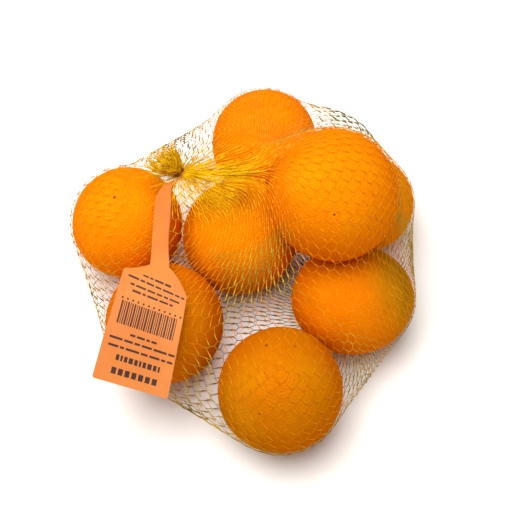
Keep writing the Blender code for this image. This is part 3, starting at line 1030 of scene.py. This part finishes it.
FLOOR_HALF = 3.0
SHARP_EDGE = math.radians(40)

CAMERA_LENS = 92.4
CAMERA_SENSOR = 36.0
CAMERA_AT = Vector((6.3, -290.9, 665.2)) * MM
CAMERA_TARGET = Vector((6.3, 4.9, 30.8)) * MM

SKY_STRENGTH = 0.34
KEY_AT = Vector((-0.20, 0.08, 1.10))
KEY_SIZE = 1.1
KEY_POWER = 20.5


def cube_sphere(cells):
    """Unit directions of a rounded cube's grid, and its faces, with the seams merged."""
    angles = np.tan(np.linspace(-math.pi / 4.0, math.pi / 4.0, cells + 1))
    found = {}
    points = []
    faces = []
    for axis in range(3):
        for sign in (-1.0, 1.0):
            index = np.empty((cells + 1, cells + 1), int)
            for i, a in enumerate(angles):
                for j, b in enumerate(angles):
                    corner = np.empty(3)
                    corner[axis] = sign
                    corner[(axis + 1) % 3] = a
                    corner[(axis + 2) % 3] = b
                    key = tuple(np.round(corner, 6))
                    if key not in found:
                        found[key] = len(points)
                        points.append(corner)
                    index[i, j] = found[key]
            a, b, c, d = index[:-1, :-1], index[1:, :-1], index[1:, 1:], index[:-1, 1:]
            ring = (a, b, c, d) if sign > 0 else (a, d, c, b)
            faces.extend(np.stack(ring, axis=-1).reshape(-1, 4).tolist())
    return unit(np.array(points)), faces


def orange_form(directions, half, stem, seed):
    """An orange's surface: its half sizes, uneven by lumps, and dimpled at both ends."""
    rng = np.random.default_rng(seed)
    reach = 1.0 / np.linalg.norm(directions / (np.array(half) * MM), axis=1)
    lumps = np.zeros(len(directions))
    for size, count, height in LUMPS:
        for _ in range(count):
            wave = rng.normal(size=3)
            wave *= size / np.linalg.norm(wave)
            lumps += height / math.sqrt(count) * np.sin(directions @ wave + rng.uniform(0.0, 6.28))
    facing = directions @ unit(np.array(stem))
    dimple = STEM_DIMPLE[0] * np.exp(-((1.0 - facing) / STEM_DIMPLE[1]))
    dimple += FAR_DIMPLE[0] * np.exp(-((1.0 + facing) / FAR_DIMPLE[1]))
    return directions * (reach + (lumps - SKIN_UNDER - dimple) * MM)[:, None]


def build_oranges():
    directions, faces = cube_sphere(ORANGE_GRID)
    for seed, (name, (centre, half, stem)) in enumerate(FRUIT.items(), start=20):
        points = orange_form(directions, half, stem, seed)
        material = peel_material(name, half, PEEL[name])
        piece = make_piece(name, points, faces, material, "orange_peel")
        piece.location = np.array(centre) * MM


def button_mesh():
    """The dried calyxes: a lobed rosette sunk in the dimple at each orange's stem end."""
    vertices, faces = [], []
    turns = 2.0 * math.pi * np.arange(BUTTON_STEPS) / BUTTON_STEPS
    widest = BUTTON_PROFILE[-1][0]
    for number, (centre, half, stem) in enumerate(FRUIT.values()):
        stem = unit(np.array(stem))
        level = unit(np.cross(stem, UP))
        upright = np.cross(stem, level)
        reach = 1.0 / np.linalg.norm(stem / (np.array(half) * MM))
        ring = level * np.cos(turns)[:, None] + upright * np.sin(turns)[:, None]
        lobes = BUTTON_LOBED * np.cos(BUTTON_LOBES * turns + number)
        index = np.arange(len(BUTTON_PROFILE) * BUTTON_STEPS).reshape(-1, BUTTON_STEPS)
        index += len(vertices)
        for radius, height in BUTTON_PROFILE:
            lobed = radius * (1.0 + radius / widest * lobes)
            middle = np.array(centre) * MM + stem * (reach + height * MM)
            vertices.extend(middle + ring * (lobed * MM)[:, None])
        faces.extend(ring_quads(index[:-1], index[1:]))
        faces.append(index[0].tolist())
        faces.append(index[-1, ::-1].tolist())
    return vertices, faces


def build_buttons():
    material = film_material("calyx", *CALYX_FILM, 0.7)
    make_piece("stem_buttons", *button_mesh(), material, "orange_peel")


def build_net():
    """The net in four pieces, its gathers and its tuft."""
    material = net_material()
    columns = layered(column_lines())
    links, link_crowd, threads, thread_crowd = strands(columns)
    for name, lines, crowd, radii, sides in (
        ("net_links", links, link_crowd, link_radii(), LINK_SIDES),
        ("net_threads", threads, thread_crowd, THREAD_RADIUS, THREAD_SIDES),
    ):
        cut = len(lines) // 2
        for number, part in enumerate((slice(0, cut), slice(cut, None)), start=1):
            tube_piece(f"{name}_{number}", lines[part], radii, sides, material, crowd[part])
    gathers, radii = gather_lines(columns)
    tube_piece("gathers", gathers, radii, THREAD_SIDES, material, np.ones(len(gathers)))
    tuft = tuft_strands()
    tube_piece("tuft", tuft, tuft_radii(), THREAD_SIDES, material, np.ones(len(tuft)))


def build_clip():
    points, faces = clip_points()
    material = film_material("dark_collar", *CLIP_FILM, 0.4)
    piece = make_piece("clip", points, faces, material, "dark_collar")
    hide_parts("neck_collar")


def build_tag():
    """The tag's printed face, its paler back, and its print, each a piece of its own."""
    sections = tag_sections()
    half = TAG_THICKNESS / 2.0
    front = film_material("salmon_film", *TAG_FILM, 0.5)
    back = film_material("salmon_film_back", *TAG_BACK_FILM, 0.5)
    ink = film_material("tag_ink", *INK_FILM, 0.6)
    for name, shape, material, slot in (
        ("tag_face", ribbon_mesh(sections, -half + TAG_BACKING, half), front, "salmon_film"),
        ("tag_back", ribbon_mesh(sections, -half, -half + TAG_BACKING), back, "salmon_film"),
        ("tag_print", print_mesh(sections), ink, "tag_ink"),
    ):
        piece = make_piece(name, *shape, material, slot)
        piece.data.set_sharp_from_angle(angle=SHARP_EDGE)
        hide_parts("tag")


def build_floor():
    half = FLOOR_HALF
    corners = [(-half, -half, 0.0), (half, -half, 0.0), (half, half, 0.0), (-half, half, 0.0)]
    mesh = bpy.data.meshes.new("floor")
    mesh.from_pydata(corners, [], [(0, 1, 2, 3)])
    mesh.materials.append(floor_material())
    floor = bpy.data.objects.new("floor", mesh)
    bpy.context.scene.collection.objects.link(floor)


def build_camera():
    camera = bpy.data.objects.new("camera", bpy.data.cameras.new("camera"))
    bpy.context.scene.collection.objects.link(camera)
    camera.data.lens = CAMERA_LENS
    camera.data.sensor_width = CAMERA_SENSOR
    camera.location = CAMERA_AT
    camera.rotation_euler = (CAMERA_TARGET - CAMERA_AT).to_track_quat("-Z", "Y").to_euler()
    bpy.context.scene.camera = camera


def build_lights():
    """A soft white sky, and one large round light that faces the origin."""
    world = bpy.data.worlds.new("studio")
    bpy.context.scene.world = world
    world.use_nodes = True
    background = world.node_tree.nodes["Background"]
    background.inputs["Color"].default_value = (1.0, 1.0, 1.0, 1.0)
    background.inputs["Strength"].default_value = SKY_STRENGTH
    key = bpy.data.objects.new("key", bpy.data.lights.new("key", "AREA"))
    bpy.context.scene.collection.objects.link(key)
    key.data.shape = "DISK"
    key.data.size = KEY_SIZE
    key.data.energy = KEY_POWER
    key.location = KEY_AT
    key.rotation_euler = (-KEY_AT).to_track_quat("-Z", "Y").to_euler()


bpy.context.scene.view_settings.view_transform = "Standard"
build_camera()
build_lights()
build_floor()
build_oranges()
build_buttons()
build_net()
build_clip()
build_tag()
